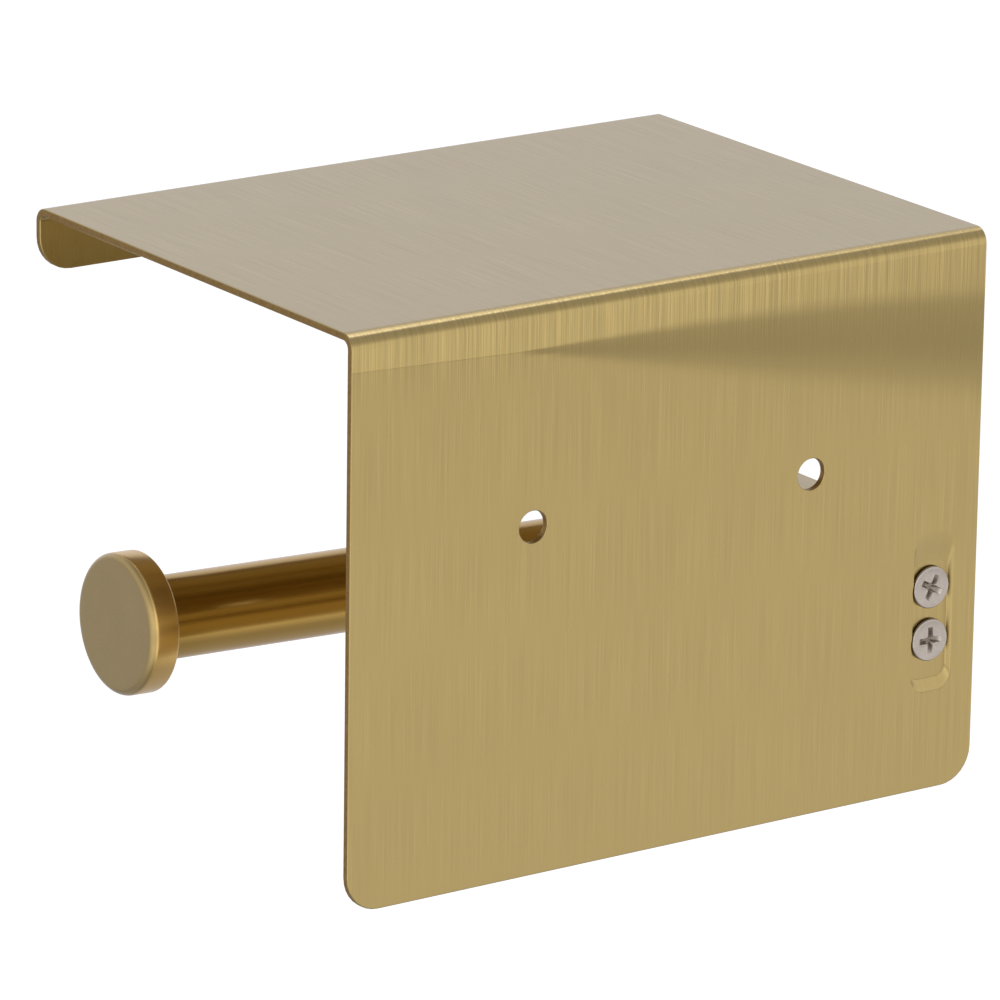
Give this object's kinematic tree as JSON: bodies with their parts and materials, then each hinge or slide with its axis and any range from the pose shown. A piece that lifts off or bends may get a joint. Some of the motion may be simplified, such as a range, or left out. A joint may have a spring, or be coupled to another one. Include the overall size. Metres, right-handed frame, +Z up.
{
  "type": "toilet paper holder",
  "caption": "Wall-mounted toilet paper holder of brushed brass-coloured metal: a folded sheet forms wall plate, shelf and front lip, with an open-ended roll bar on a side arm.",
  "frame": {"origin": "On the rear face that lies against the wall, midway between the two wall screw holes.", "axes": "+Y points out of the rear face, into the wall; the shelf and the roll bar stand out towards -Y. +Z is up. +X points along the wall towards the roll bar's free end."},
  "size_m": [0.1614, 0.109, 0.1105],
  "materials": {
    "sheet_brass": "brushed and satin, grain down the plate, over the bends and along the shelf's depth",
    "arm_brass": "brushed along its length",
    "bar_brass": "fine satin, polished lengthwise",
    "cap_brass": "satin face, turned rim",
    "screw_nickel": "bright nickel plate",
    "fixing_screw": "brass-coloured plate, hexagon socket",
    "plain_steel": "turned, uncoated"
  },
  "bodies": {
    "root": {"folded_sheet": "sheet_brass", "arm": "arm_brass", "arm_screw_upper": "screw_nickel", "arm_screw_lower": "screw_nickel", "roll_bar": "bar_brass", "end_cap": "cap_brass", "root_insert": "plain_steel", "tip_insert": "plain_steel", "bar_fixing_screw": "fixing_screw", "cap_stud": "plain_steel"}
  },
  "joints": []
}
